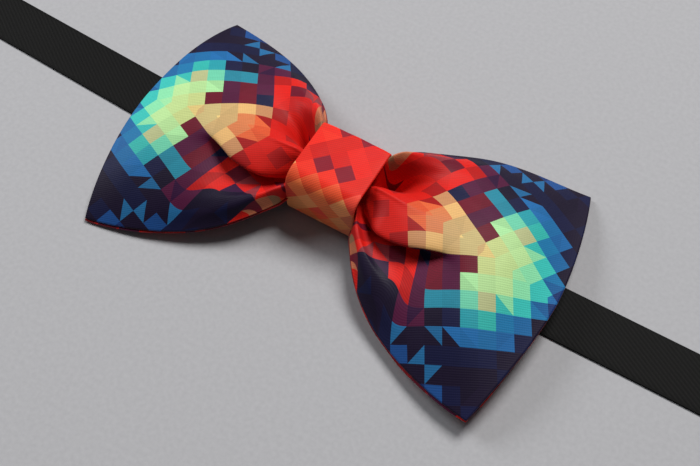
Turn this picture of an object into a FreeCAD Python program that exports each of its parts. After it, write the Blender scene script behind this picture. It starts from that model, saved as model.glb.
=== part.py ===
"""A pre-tied bow tie lying face up, with the adjustable neck strap that carries it.

Millimetres, +Z up.  The origin is on the back of the knot, where it touches the table.
+X runs along the strap from the eye end to the hook end, and +Y to the upper edge of the bow.
"""
import math
import os
import FreeCAD, Part
from FreeCAD import Vector

# ---------------------------------------------------------------- driving dimensions
BOW_TIP_REACH = 54.4        # from the middle to the corners of a wing, along the strap
BOW_END_REACH = 60.0        # from the middle to the middle of a wing's outer edge
BOW_SHIFT = 1.6             # the right wing is pulled out this much further than the left
WAIST_HALF_HEIGHT = 6.9     # gathered cloth inside the knot
WAIST_OFFSET = 0.6          # the gathers sit a little above the strap's centre line
CLOTH = 0.45                # printed cloth with its turned edges
INTERLINING = 0.4
CLOTH_GAP = 0.06            # between one layer of cloth and the next
PANEL_COLUMNS = 49          # grid of points that each cloth surface passes through
PANEL_ROWS = 33
INTERLINING_END = 0.91      # how far the interlining reaches towards the outer edge
INTERLINING_SIDE = 0.90     # and towards the long edges

KNOT_HALF_LENGTH = 9.65
KNOT_LOW_Y = -9.05
KNOT_HIGH_Y = 10.3
KNOT_HEIGHT = 16.6
KNOT_WRAP = 0.9             # doubled cloth
KNOT_LINING = 0.4
KNOT_CORNERS = (2.0, 2.0, 2.6, 4.0)     # low -Y, low +Y, high +Y, high -Y
SEAM_Y = 4.6
SEAM_WIDTH = 1.6
SEAM_DEPTH = 0.4
THREAD = 0.4                # diameter of the gathering thread
THREAD_TURNS = 7
STITCH = 0.3                # diameter of a sewing stitch

RIBBON_WIDTH = 14.4
RIBBON = 0.6                # thickness
RIBBON_LIFT = 1.45          # underside of the strap where it runs through the knot
LEVEL_RUN = 36.0            # the strap is level this far each side of the knot
FLOOR_RUN = 58.0            # and lies on the table from here on
STRAP_KINK_DEG = -3.0       # the left half of the strap lies at this angle to the right half
LAYER_GAP = 0.1

WIRE = 1.5                  # diameter of the metal wire
MIDDLE_BAR = 1.3            # diameter of the slide's middle bar
BUCKLE_WIDTH = 20.0         # outside width of slide, hook base and eye, across the strap
CORNER_RADIUS = 2.0         # on the wire's centre line
EYE_BAR_X = -170.0
EYE_LENGTH = 11.0
EYE_TAIL = 14.0
EYE_SPLIT_X = -150.0        # the fold at the eye starts here
SLIDE_X = 130.0
SLIDE_LENGTH = 12.5
BRIDGE_START_X = 122.0      # the strap enters the slide here
BRIDGE_END_X = 145.0        # and the sewn end behind the slide reaches here
HOOK_BAR_X = 220.0
FOLD_START_X = 213.0        # the fold at the hook starts here
HOOK_BASE_LENGTH = 7.0
HOOK_TONGUE_WIDTH = 8.0
HOOK_TONGUE = 1.0           # thickness of the flat tongue
HOOK_REACH = 9.0
HOOK_TURN = 1.9             # radius of the hook's turn on its centre line
HOOK_RETURN = 7.0

FIRST_LAYER = RIBBON / 2                                # middle of the strap lying on the table
SECOND_LAYER = FIRST_LAYER + RIBBON + LAYER_GAP
THIRD_LAYER = SECOND_LAYER + RIBBON + LAYER_GAP
BAR_HEIGHT = RIBBON + LAYER_GAP + WIRE / 2              # bar with one layer of strap under it
BAR_TURN = WIRE / 2 + LAYER_GAP + RIBBON / 2            # radius of the strap's middle round a bar
SLIDE_HEIGHT = 3 * (RIBBON + LAYER_GAP) + WIRE / 2      # bars with three layers under them


# ---------------------------------------------------------------- shared helpers
def ease(low, high, value):
    """0 below low, 1 above high, and a smooth step between them."""
    t = min(1.0, max(0.0, (value - low) / (high - low)))
    return t * t * (3.0 - 2.0 * t)


def bell(middle, width, value):
    return math.exp(-((value - middle) / width) ** 2)


def spread(low, high, count):
    return [low + (high - low) * i / (count - 1) for i in range(count)]


def surface_through(rows):
    surface = Part.BSplineSurface()
    surface.interpolate(rows)
    return surface


def sheet_solid(upper, lower):
    """A closed solid between two grids of points that have the same number of rows and columns."""
    top = surface_through(upper)
    bottom = surface_through(lower)
    faces = [top.toShape(), bottom.toShape()]
    top_u0, top_u1, top_v0, top_v1 = top.bounds()
    low_u0, low_u1, low_v0, low_v1 = bottom.bounds()
    rims = [
        (top.uIso(top_u0), bottom.uIso(low_u0)),
        (top.uIso(top_u1), bottom.uIso(low_u1)),
        (top.vIso(top_v0), bottom.vIso(low_v0)),
        (top.vIso(top_v1), bottom.vIso(low_v1)),
    ]
    for above, below in rims:
        faces.append(Part.makeRuledSurface(above.toShape(), below.toShape()))
    shell = Part.makeShell(faces)
    shell.sewShape()
    solid = Part.makeSolid(Part.Shell(shell.Faces))
    if solid.Volume < 0:
        solid.reverse()
    return solid


def unit(x, z):
    length = math.hypot(x, z)
    return x / length, z / length


def side_edges(path, shift, y):
    """Lines and arcs at a constant distance to the left of a path of (x, z, corner radius)."""
    edges = []
    start = None
    for i, (x, z, radius) in enumerate(path):
        before = path[i - 1] if i else None
        after = path[i + 1] if i + 1 < len(path) else None
        into = unit(x - before[0], z - before[1]) if before else None
        out = unit(after[0] - x, after[1] - z) if after else into
        into = into or out
        cross = into[0] * out[1] - into[1] * out[0]
        turn = math.atan2(cross, into[0] * out[0] + into[1] * out[1])
        tangent = radius * math.tan(abs(turn) / 2)
        first = Vector(x - into[0] * tangent - into[1] * shift, y, z - into[1] * tangent + into[0] * shift)
        last = Vector(x + out[0] * tangent - out[1] * shift, y, z + out[1] * tangent + out[0] * shift)
        if start is not None and (first - start).Length > 1e-6:
            edges.append(Part.makeLine(start, first))
        if tangent > 0:
            hand = math.copysign(1, turn)
            centre_x = x - into[0] * tangent - into[1] * hand * radius
            centre_z = z - into[1] * tangent + into[0] * hand * radius
            away = unit(x - centre_x, z - centre_z)
            reach = radius - hand * shift
            middle = Vector(centre_x + away[0] * reach, y, centre_z + away[1] * reach)
            edges.append(Part.Arc(first, middle, last).toShape())
        start = last
    return edges


def band(path, thickness, width):
    """A strip whose side view follows a path of (x, z, corner radius), extruded across the strap."""
    y = -width / 2
    left = side_edges(path, thickness / 2, y)
    right = side_edges(path, -thickness / 2, y)
    ends = [
        Part.makeLine(left[0].firstVertex(True).Point, right[0].firstVertex(True).Point),
        Part.makeLine(left[-1].lastVertex(True).Point, right[-1].lastVertex(True).Point),
    ]
    face = Part.Face(Part.Wire(Part.__sortEdges__(left + right + ends)))
    return face.extrude(Vector(0, width, 0))


def round_bar(x, z, radius, from_below):
    """Two corners that take a path half-way round a bar, turning on its -X side."""
    low = (x - radius, z - radius, radius)
    high = (x - radius, z + radius, radius)
    return [low, high] if from_below else [high, low]


def rounded_loop(y0, y1, z0, z1, radii, x):
    """A closed wire in the plane at x; radii run low -Y, low +Y, high +Y, high -Y."""
    corners = [(y0, z0, 1, 1), (y1, z0, -1, 1), (y1, z1, -1, -1), (y0, z1, 1, -1)]
    edges = []
    ends = []
    half = math.sqrt(0.5)
    for (y, z, in_y, in_z), r in zip(corners, radii):
        middle = (y + in_y * r * (1 - half), z + in_z * r * (1 - half))
        along_y = Vector(x, y + in_y * r, z)
        along_z = Vector(x, y, z + in_z * r)
        first, last = (along_z, along_y) if in_y == in_z else (along_y, along_z)
        edges.append(Part.Arc(first, Vector(x, *middle), last).toShape())
        ends.append((first, last))
    for i in range(4):
        edges.append(Part.makeLine(ends[i][1], ends[(i + 1) % 4][0]))
    return Part.Wire(Part.__sortEdges__(edges))


def ring_between(outer, inner, length):
    """The wall between two closed wires, extruded along X."""
    along = Vector(length, 0, 0)
    return Part.Face(outer).extrude(along).cut(Part.Face(inner).extrude(along))


def rod(start, end, diameter):
    return Part.makeCylinder(diameter / 2, (end - start).Length, start, end - start)


def wire_rectangle(x0, x1, width, z):
    """A flat closed ring of round wire, given its outside size."""
    reach = WIRE / 2
    low = Vector(x0 + reach, -width / 2 + reach, z)
    high = Vector(x1 - reach, width / 2 - reach, z)
    r = CORNER_RADIUS
    pieces = []
    for x in (low.x, high.x):
        pieces.append(rod(Vector(x, low.y + r, z), Vector(x, high.y - r, z), WIRE))
    for y in (low.y, high.y):
        pieces.append(rod(Vector(low.x + r, y, z), Vector(high.x - r, y, z), WIRE))
    centres = [(high.x - r, high.y - r, 0), (low.x + r, high.y - r, 90),
               (low.x + r, low.y + r, 180), (high.x - r, low.y + r, 270)]
    for x, y, turn in centres:
        bend = Part.makeTorus(r, WIRE / 2, Vector(0, 0, 0), Vector(0, 0, 1), -180, 180, 90)
        bend.rotate(Vector(0, 0, 0), Vector(0, 0, 1), turn)
        bend.translate(Vector(x, y, z))
        pieces.append(bend)
    return pieces[0].fuse(pieces[1:]).removeSplitter()


def lay_along_left_strap(shape):
    """Turns a piece that was built along -X to the angle of the strap's left half."""
    shape.rotate(Vector(0, 0, 0), Vector(0, 0, 1), STRAP_KINK_DEG)
    return shape


# ---------------------------------------------------------------- the bow's cloth
def plan_x(u, v):
    reach = BOW_TIP_REACH + (BOW_END_REACH - BOW_TIP_REACH) * (1 - abs(v) ** 1.7)
    return u * reach + BOW_SHIFT * u * u


def half_height(s):
    """Half the bow's height at the distance s from the middle: narrow in the knot, then flared."""
    flare = 37.3 - 47.5 * math.exp(-s / 16.5)
    outside = ease(8.0, 15.0, s)
    return WAIST_HALF_HEIGHT * (1 - outside) + flare * outside


def middle_y(s):
    return WAIST_OFFSET * (1 - ease(9, 18, s)) - 1.65 * ease(28, 56, s)


def rim_height(x, v):
    """Height of the long edges; each wing is twisted a little about its own length."""
    s = abs(x)
    waist = 3.2 + 4.6 * bell(12, 15, max(12, s))
    twist = -2.0 * math.copysign(1, x) * v * ease(25, 55, s)
    near_dip = -0.6 * bell(22, 12, s) * (1 - v)
    return waist + twist + near_dip


def gather(s, v):
    """Soft pleats that run out from the knot."""
    fade = math.exp(-(max(0.0, s - 9) / 12.0) ** 1.2) * (1 - ease(0.85, 1.0, abs(v)))
    return 1.8 * fade * math.cos(2 * math.pi * v / 0.78)


def front_height(x, v):
    s = abs(x)
    outside = ease(9, 17, s)
    crown = 4.6 * (1 - outside) + outside * (0.6 + 9.4 * bell(38, 30, s)) - 1.6 * ease(46, 61, s)
    arch = crown * (1 - abs(v) ** 2.2)
    step = 1.8 * ease(6, 15, s) * (1 - ease(24, 42, s))
    t = (v + 0.34) / 0.21
    pleat = step * math.tanh(1.6 * t) * math.exp(-0.35 * t * t)
    return rim_height(x, v) + arch + gather(s, v) + pleat


def back_height(x, u, v):
    """The back panel is flatter than the front and meets it along all its edges."""
    s = abs(x)
    outside = ease(9, 17, s)
    arch = (1.9 * (1 - ease(50, 61, s)) + 0.5) * (1 - v * v) * outside
    sag = 1.6 * (1 - outside) * (1 - v ** 4)
    inner = rim_height(x, v) - CLOTH - CLOTH_GAP + arch - sag + 0.3 * gather(s, v)
    seam = front_height(x, v) - CLOTH - CLOTH_GAP
    closing = ease(0.80, 1.0, abs(u))
    return inner * (1 - closing) + seam * closing


def cloth_layer(height, thickness, end=1.0, side=1.0):
    upper = []
    lower = []
    for u in spread(-end, end, PANEL_COLUMNS):
        upper_row = []
        lower_row = []
        for v in spread(-side, side, PANEL_ROWS):
            x = plan_x(u, v)
            y = middle_y(abs(x)) + half_height(abs(x)) * v
            z = height(x, u, v)
            upper_row.append(Vector(x, y, z))
            lower_row.append(Vector(x, y, z - thickness))
        upper.append(upper_row)
        lower.append(lower_row)
    return sheet_solid(upper, lower)


def make_front_panel():
    return cloth_layer(lambda x, u, v: front_height(x, v), CLOTH)


def make_back_panel():
    return cloth_layer(back_height, CLOTH)


def make_interlining():
    drop = CLOTH + 2 * CLOTH_GAP
    return cloth_layer(lambda x, u, v: front_height(x, v) - drop, INTERLINING, INTERLINING_END,
                       INTERLINING_SIDE)


def make_gather_thread():
    """Thread wound round the gathered waist and pulled tight."""
    margin = THREAD / 2 + 0.1
    low_y = WAIST_OFFSET - WAIST_HALF_HEIGHT - margin
    high_y = WAIST_OFFSET + WAIST_HALF_HEIGHT + margin
    low_z = 4.2 - margin
    high_z = 14.25 + margin
    turns = []
    for x in spread(-4.5, 4.5, THREAD_TURNS):
        outer = rounded_loop(low_y - THREAD / 2, high_y + THREAD / 2, low_z - THREAD / 2,
                             high_z + THREAD / 2, (2.2, 2.2, 2.8, 2.8), x - THREAD / 2)
        inner = rounded_loop(low_y + THREAD / 2, high_y - THREAD / 2, low_z + THREAD / 2,
                             high_z - THREAD / 2, (1.8, 1.8, 2.4, 2.4), x - THREAD / 2)
        turns.append(ring_between(outer, inner, THREAD))
    return Part.makeCompound(turns)


# ---------------------------------------------------------------- the knot
def knot_ring(inset, thickness, half_length):
    """One layer of the band round the waist, as a closed ring."""
    def loop(depth):
        radii = [max(0.3, r - depth) for r in KNOT_CORNERS]
        return rounded_loop(KNOT_LOW_Y + depth, KNOT_HIGH_Y - depth, depth, KNOT_HEIGHT - depth,
                            radii, -half_length)
    return ring_between(loop(inset), loop(inset + thickness), 2 * half_length)


def make_knot_wrap():
    groove = Part.makeBox(2 * KNOT_HALF_LENGTH, SEAM_WIDTH, SEAM_DEPTH,
                          Vector(-KNOT_HALF_LENGTH, SEAM_Y - SEAM_WIDTH / 2, 0))
    return knot_ring(0.0, KNOT_WRAP, KNOT_HALF_LENGTH).cut(groove)


def make_knot_interlining():
    return knot_ring(KNOT_WRAP, KNOT_LINING, KNOT_HALF_LENGTH - 0.8)


def make_knot_stitches():
    """Ladder stitches that lie in the seam on the back of the knot."""
    z = SEAM_DEPTH - STITCH / 2
    stitches = []
    for x in spread(-7.8, 7.8, 9):
        start = Vector(x, SEAM_Y - SEAM_WIDTH / 2, z)
        end = Vector(x, SEAM_Y + SEAM_WIDTH / 2, z)
        stitches.append(rod(start, end, STITCH))
    return Part.makeCompound(stitches)


# ---------------------------------------------------------------- the neck strap
def strap_underside(x):
    return RIBBON_LIFT * (1 - ease(LEVEL_RUN, FLOOR_RUN, abs(x)))


def strap_middle_y(x):
    """The centre line in plan: straight on the right, then turned by the kink on the left."""
    slope = -math.tan(math.radians(STRAP_KINK_DEG))
    return slope * (math.hypot(x, 4.0) - x) / 2


def make_strap_run():
    """The flat strap from the fold at the eye to the slide."""
    start = EYE_SPLIT_X * math.cos(math.radians(STRAP_KINK_DEG))
    upper = []
    lower = []
    for x in spread(start, BRIDGE_START_X, 93):
        slope = (strap_middle_y(x + 0.5) - strap_middle_y(x - 0.5))
        across = Vector(-slope, 1, 0).normalize()
        z = strap_underside(x)
        upper_row = []
        lower_row = []
        for v in spread(-1, 1, 3):
            place = Vector(x, strap_middle_y(x), 0) + across * (v * RIBBON_WIDTH / 2)
            lower_row.append(Vector(place.x, place.y, z))
            upper_row.append(Vector(place.x, place.y, z + RIBBON))
        upper.append(upper_row)
        lower.append(lower_row)
    return sheet_solid(upper, lower)


def make_eye_fold():
    """The strap's left end, folded round the eye's bar with its tail sewn down on top."""
    path = [(EYE_SPLIT_X, FIRST_LAYER, 0)]
    path += round_bar(EYE_BAR_X, BAR_HEIGHT, BAR_TURN, True)
    path += [
        (EYE_BAR_X + 2.5, BAR_HEIGHT + BAR_TURN, 4.0),
        (EYE_BAR_X + 6.5, SECOND_LAYER, 4.0),
        (EYE_BAR_X + EYE_TAIL, SECOND_LAYER, 0),
    ]
    return lay_along_left_strap(band(path, RIBBON, RIBBON_WIDTH))


def make_neck_strap():
    return make_strap_run().fuse(make_eye_fold())


def make_strap_bridge():
    """The stretch of strap that climbs over the slide's middle bar."""
    crest = SLIDE_HEIGHT + BAR_TURN + LAYER_GAP + RIBBON
    path = [
        (BRIDGE_START_X, FIRST_LAYER, 0),
        (SLIDE_X - 4.7, FIRST_LAYER, 1.6),
        (SLIDE_X - 1.3, crest, 1.2),
        (SLIDE_X + 1.5, crest, 1.4),
        (SLIDE_X + 4.9, THIRD_LAYER, 1.8),
        (BRIDGE_END_X, THIRD_LAYER, 0),
    ]
    return band(path, RIBBON, RIBBON_WIDTH)


def make_slider_end_loop():
    """The strap's right end, folded round the slide's middle bar and sewn to itself."""
    path = [
        (BRIDGE_END_X, FIRST_LAYER, 0),
        (SLIDE_X + 4.0, FIRST_LAYER, 3.0),
        (SLIDE_X + 1.2, SLIDE_HEIGHT - BAR_TURN, 2.0),
    ]
    path += round_bar(SLIDE_X, SLIDE_HEIGHT, BAR_TURN, True)
    path += [
        (SLIDE_X + 1.0, SLIDE_HEIGHT + BAR_TURN, 1.0),
        (SLIDE_X + 4.3, SECOND_LAYER, 1.8),
        (BRIDGE_END_X, SECOND_LAYER, 0),
    ]
    return band(path, RIBBON, RIBBON_WIDTH)


def make_strap_upper_leg():
    path = [
        (BRIDGE_END_X, THIRD_LAYER, 0),
        (BRIDGE_END_X + 6, THIRD_LAYER, 60.0),
        (FOLD_START_X - 6, BAR_HEIGHT + BAR_TURN, 60.0),
        (FOLD_START_X, BAR_HEIGHT + BAR_TURN, 0),
    ]
    return band(path, RIBBON, RIBBON_WIDTH)


def make_strap_return_leg():
    return band([(BRIDGE_END_X, FIRST_LAYER, 0), (FOLD_START_X, FIRST_LAYER, 0)], RIBBON, RIBBON_WIDTH)


def make_strap_fold():
    """The strap turns back round the bar of the hook."""
    path = [
        (FOLD_START_X, BAR_HEIGHT + BAR_TURN, 0),
        (HOOK_BAR_X + BAR_TURN, BAR_HEIGHT + BAR_TURN, BAR_TURN),
        (HOOK_BAR_X + BAR_TURN, BAR_HEIGHT - BAR_TURN, BAR_TURN),
        (FOLD_START_X, BAR_HEIGHT - BAR_TURN, 0),
    ]
    return band(path, RIBBON, RIBBON_WIDTH)


def stitch_row(x, z, count=6, length=1.3):
    """Short stitches across the strap."""
    row = []
    for y in spread(-RIBBON_WIDTH / 2 + 1.6, RIBBON_WIDTH / 2 - 1.6, count):
        row.append(rod(Vector(x, y - length / 2, z), Vector(x, y + length / 2, z), STITCH))
    return row


def make_eye_end_stitches():
    z = SECOND_LAYER + RIBBON / 2
    rows = stitch_row(EYE_BAR_X + EYE_TAIL - 1.6, z) + stitch_row(EYE_BAR_X + EYE_TAIL - 3.6, z)
    return lay_along_left_strap(Part.makeCompound(rows))


def make_slider_end_stitches():
    z = SECOND_LAYER + RIBBON / 2 - 0.08
    return Part.makeCompound(stitch_row(BRIDGE_END_X - 1.8, z) + stitch_row(BRIDGE_END_X - 3.8, z))


# ---------------------------------------------------------------- metal fittings
def make_adjuster_slide():
    frame = wire_rectangle(SLIDE_X - SLIDE_LENGTH / 2, SLIDE_X + SLIDE_LENGTH / 2, BUCKLE_WIDTH, SLIDE_HEIGHT)
    reach = BUCKLE_WIDTH / 2 - WIRE / 2
    bar = rod(Vector(SLIDE_X, -reach, SLIDE_HEIGHT), Vector(SLIDE_X, reach, SLIDE_HEIGHT), MIDDLE_BAR)
    return frame.fuse(bar)


def make_collar_hook():
    """A wire base that takes the strap, and a flat tongue turned back into a hook."""
    base_end = HOOK_BAR_X - WIRE / 2 + HOOK_BASE_LENGTH
    base = wire_rectangle(HOOK_BAR_X - WIRE / 2, base_end, BUCKLE_WIDTH, BAR_HEIGHT)
    root_x = base_end - WIRE / 2
    tip_x = root_x + HOOK_REACH
    top = BAR_HEIGHT + 2 * HOOK_TURN
    path = [
        (root_x, BAR_HEIGHT, 0),
        (tip_x + HOOK_TURN, BAR_HEIGHT, HOOK_TURN),
        (tip_x + HOOK_TURN, top, HOOK_TURN),
        (tip_x - HOOK_RETURN + 2.0, top, 4.0),
        (tip_x - HOOK_RETURN, top + 0.5, 0),
    ]
    tongue = band(path, HOOK_TONGUE, HOOK_TONGUE_WIDTH)
    hook = base.fuse(tongue)
    drop = math.degrees(math.atan((BAR_HEIGHT - HOOK_TONGUE / 2 - 0.02) / (tip_x - HOOK_BAR_X)))
    hook.rotate(Vector(HOOK_BAR_X, 0, BAR_HEIGHT), Vector(0, 1, 0), drop)
    return hook


def make_collar_eye():
    """A wire ring for the hook, hung on the strap's left end and resting on its far bar."""
    far_x = EYE_BAR_X + WIRE / 2 - EYE_LENGTH
    eye = wire_rectangle(far_x, EYE_BAR_X + WIRE / 2, BUCKLE_WIDTH, BAR_HEIGHT)
    drop = math.degrees(math.asin((BAR_HEIGHT - WIRE / 2 - 0.02) / (EYE_LENGTH - WIRE)))
    eye.rotate(Vector(EYE_BAR_X, 0, BAR_HEIGHT), Vector(0, 1, 0), -drop)
    return lay_along_left_strap(eye)


PARTS = {
    "bow_front_panel": make_front_panel,
    "bow_back_panel": make_back_panel,
    "bow_interlining": make_interlining,
    "gather_thread": make_gather_thread,
    "knot_wrap": make_knot_wrap,
    "knot_interlining": make_knot_interlining,
    "knot_stitches": make_knot_stitches,
    "neck_strap": make_neck_strap,
    "eye_end_stitches": make_eye_end_stitches,
    "strap_bridge": make_strap_bridge,
    "slider_end_loop": make_slider_end_loop,
    "slider_end_stitches": make_slider_end_stitches,
    "adjuster_slide": make_adjuster_slide,
    "strap_upper_leg": make_strap_upper_leg,
    "strap_return_leg": make_strap_return_leg,
    "strap_fold": make_strap_fold,
    "collar_hook": make_collar_hook,
    "collar_eye": make_collar_eye,
}

os.makedirs("parts", exist_ok=True)
for node, make in PARTS.items():
    shape = make()
    shape.exportStep(f"parts/{node}.step")
    box = shape.BoundBox
    print(f"{node:20s} valid {shape.isValid()} solids {len(shape.Solids)} volume {shape.Volume:8.1f}"
          f"  x {box.XMin:7.2f} {box.XMax:7.2f}  y {box.YMin:6.2f} {box.YMax:6.2f}"
          f"  z {box.ZMin:5.2f} {box.ZMax:5.2f}")
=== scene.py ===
"""The looks of a pre-tied bow tie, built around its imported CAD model."""
import math

import bpy
import numpy as np
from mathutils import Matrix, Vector


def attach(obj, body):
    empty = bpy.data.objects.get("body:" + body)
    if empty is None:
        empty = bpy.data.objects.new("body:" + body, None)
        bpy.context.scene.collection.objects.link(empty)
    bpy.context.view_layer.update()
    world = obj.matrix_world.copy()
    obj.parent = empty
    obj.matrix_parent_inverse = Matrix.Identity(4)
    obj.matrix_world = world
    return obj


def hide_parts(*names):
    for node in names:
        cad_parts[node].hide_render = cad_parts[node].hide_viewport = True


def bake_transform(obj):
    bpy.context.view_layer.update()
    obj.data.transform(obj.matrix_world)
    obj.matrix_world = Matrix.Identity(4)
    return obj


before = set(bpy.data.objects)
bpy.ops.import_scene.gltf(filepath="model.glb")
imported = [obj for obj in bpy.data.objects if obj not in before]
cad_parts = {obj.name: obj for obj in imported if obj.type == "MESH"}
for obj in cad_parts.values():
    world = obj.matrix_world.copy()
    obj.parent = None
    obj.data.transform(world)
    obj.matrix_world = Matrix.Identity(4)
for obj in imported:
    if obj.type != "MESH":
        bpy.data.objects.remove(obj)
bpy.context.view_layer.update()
MM = 0.001                   # shapes below are in millimetres, and Blender's unit is the metre

CAMERA_AZIMUTH = math.radians(30.4)
CAMERA_ELEVATION = math.radians(60.0)
CAMERA_DISTANCE = 0.257      # metres
CAMERA_TARGET = (7.43, -6.03, 0.0)       # millimetres, a little to the right of the knot
CAMERA_LENS = 51.94
FLOOR_HALF_SIDE = 3.0        # metres
FLOOR_DROP = 0.00005         # metres; keeps the floor clear of what lies on it


# ---------------------------------------------------------------- camera, light and floor
def place_camera():
    """Looks at the bow from its lower right, 60 degrees up."""
    level = math.cos(CAMERA_ELEVATION)
    back = Vector((math.sin(CAMERA_AZIMUTH) * level, -math.cos(CAMERA_AZIMUTH) * level,
                   math.sin(CAMERA_ELEVATION)))
    data = bpy.data.cameras.new("camera")
    data.lens = CAMERA_LENS
    data.sensor_width = 36.0
    data.clip_start = 0.01
    camera = bpy.data.objects.new("camera", data)
    camera.location = Vector(CAMERA_TARGET) * MM + back * CAMERA_DISTANCE
    camera.rotation_euler = back.to_track_quat("Z", "Y").to_euler()
    bpy.context.scene.collection.objects.link(camera)
    bpy.context.scene.camera = camera


def soft_light(name, place, size, power, colour):
    """A round lamp that faces the bow; its place and size are in metres."""
    data = bpy.data.lights.new(name, "AREA")
    data.shape = "DISK"
    data.size = size
    data.energy = power
    data.color = colour
    light = bpy.data.objects.new(name, data)
    light.location = place
    light.rotation_euler = Vector(place).to_track_quat("Z", "Y").to_euler()
    bpy.context.scene.collection.objects.link(light)


def light_the_scene():
    soft_light("key_light", (0.06, 0.90, 1.40), 0.75, 24.5, (1.0, 0.985, 0.97))
    soft_light("fill_light", (-1.10, 0.10, 0.75), 0.6, 7.5, (0.96, 0.98, 1.0))
    world = bpy.data.worlds.new("studio")
    world.use_nodes = True
    background = world.node_tree.nodes["Background"]
    background.inputs["Color"].default_value = (0.9, 0.92, 0.95, 1)
    background.inputs["Strength"].default_value = 0.07
    bpy.context.scene.world = world
    bpy.context.scene.view_settings.view_transform = "Standard"


# ---------------------------------------------------------------- material helpers
def paint(red, green, blue):
    """A linear colour from the 0 to 255 values of a screen."""
    def linear(value):
        value /= 255
        return value / 12.92 if value <= 0.04045 else ((value + 0.055) / 1.055) ** 2.4
    return (linear(red), linear(green), linear(blue), 1.0)


class Num:
    """A number that a material's nodes work out."""

    def __init__(self, tree, socket):
        self.tree = tree
        self.socket = socket

    def op(self, operation, *others):
        node = self.tree.nodes.new("ShaderNodeMath")
        node.operation = operation
        for slot, value in zip(node.inputs, (self,) + others):
            if isinstance(value, Num):
                self.tree.links.new(value.socket, slot)
            else:
                slot.default_value = value
        return Num(self.tree, node.outputs[0])

    def __add__(self, other):
        return self.op("ADD", other)

    def __sub__(self, other):
        return self.op("SUBTRACT", other)

    def __mul__(self, other):
        return self.op("MULTIPLY", other)

    def __truediv__(self, other):
        return self.op("DIVIDE", other)

    def __gt__(self, other):
        return self.op("GREATER_THAN", other)

    def __lt__(self, other):
        return self.op("LESS_THAN", other)

    def abs(self):
        return self.op("ABSOLUTE")

    def floor(self):
        return self.op("FLOOR")

    def fract(self):
        return self.op("FRACT")

    def max(self, other):
        return self.op("MAXIMUM", other)

    def root(self):
        return self.op("SQRT")

    def sine(self):
        return self.op("SINE")

    def wave(self, pitch):
        """A sine wave of this pitch, from 0 to 1."""
        return (self * (2 * math.pi / pitch)).sine() * 0.5 + 0.5

    def flip(self):
        """1 becomes 0 and 0 becomes 1."""
        return self * -1.0 + 1.0

    def ramp(self, low, high):
        """0 at low, 1 at high, straight between them and held outside them."""
        node = self.tree.nodes.new("ShaderNodeMapRange")
        node.inputs["From Min"].default_value = low
        node.inputs["From Max"].default_value = high
        self.tree.links.new(self.socket, node.inputs["Value"])
        return Num(self.tree, node.outputs["Result"])


def new_material(name):
    material = bpy.data.materials.new(name)
    material.use_nodes = True
    tree = material.node_tree
    return material, tree, tree.nodes["Principled BSDF"]


def cloth_place(tree):
    """The place on the flat cloth, in millimetres, as two numbers."""
    node = tree.nodes.new("ShaderNodeUVMap")
    node.uv_map = "cloth"
    parts = tree.nodes.new("ShaderNodeSeparateXYZ")
    tree.links.new(node.outputs["UV"], parts.inputs[0])
    return Num(tree, parts.outputs["X"]), Num(tree, parts.outputs["Y"])


def vector(tree, x, y, z=0.0):
    node = tree.nodes.new("ShaderNodeCombineXYZ")
    for slot, value in zip(node.inputs, (x, y, z)):
        if isinstance(value, Num):
            tree.links.new(value.socket, slot)
        else:
            slot.default_value = value
    return node.outputs[0]


def chance(tree, x, y, z):
    """Three random numbers from 0 to 1 that stay the same for the same x, y and z."""
    node = tree.nodes.new("ShaderNodeTexWhiteNoise")
    tree.links.new(vector(tree, x, y, z), node.inputs["Vector"])
    parts = tree.nodes.new("ShaderNodeSeparateColor")
    tree.links.new(node.outputs["Color"], parts.inputs[0])
    return [Num(tree, parts.outputs[i]) for i in range(3)]


def noise(tree, where, scale, detail):
    node = tree.nodes.new("ShaderNodeTexNoise")
    tree.links.new(where, node.inputs["Vector"])
    node.inputs["Scale"].default_value = scale
    node.inputs["Detail"].default_value = detail
    return Num(tree, node.outputs["Fac"])


def object_place(tree):
    return tree.nodes.new("ShaderNodeTexCoord").outputs["Object"]


def colours(tree, value, stops, step=False):
    """A colour picked by value from a list of (position, colour)."""
    node = tree.nodes.new("ShaderNodeValToRGB")
    node.color_ramp.interpolation = "CONSTANT" if step else "LINEAR"
    elements = node.color_ramp.elements
    for i, (position, colour) in enumerate(stops):
        element = elements[i] if i < 2 else elements.new(position)
        element.position = position
        element.color = colour
    tree.links.new(value.socket, node.inputs["Fac"])
    return node.outputs["Color"]


def mix(tree, share, first, second, mode="MIX"):
    node = tree.nodes.new("ShaderNodeMix")
    node.data_type = "RGBA"
    node.blend_type = mode
    for slot, value in ((node.inputs[0], share), (node.inputs[6], first), (node.inputs[7], second)):
        if isinstance(value, Num):
            tree.links.new(value.socket, slot)
        elif isinstance(value, bpy.types.NodeSocket):
            tree.links.new(value, slot)
        else:
            slot.default_value = value
    return node.outputs[2]


def grey(tree, value):
    node = tree.nodes.new("ShaderNodeCombineColor")
    for slot in node.inputs[:3]:
        tree.links.new(value.socket, slot)
    return node.outputs[0]


def add_bump(tree, shader, height, strength, distance):
    node = tree.nodes.new("ShaderNodeBump")
    node.inputs["Strength"].default_value = strength
    node.inputs["Distance"].default_value = distance
    tree.links.new(height.socket, node.inputs["Height"])
    tree.links.new(node.outputs[0], shader.inputs["Normal"])


# ---------------------------------------------------------------- printed cloth
PITCH = 4.3                  # side of the print's squares
BOW_TILT = math.radians(-29.0)
KNOT_TILT = math.radians(45.0)
WEAVE_PITCH = 0.55           # from one rib of the cloth to the next

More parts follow.
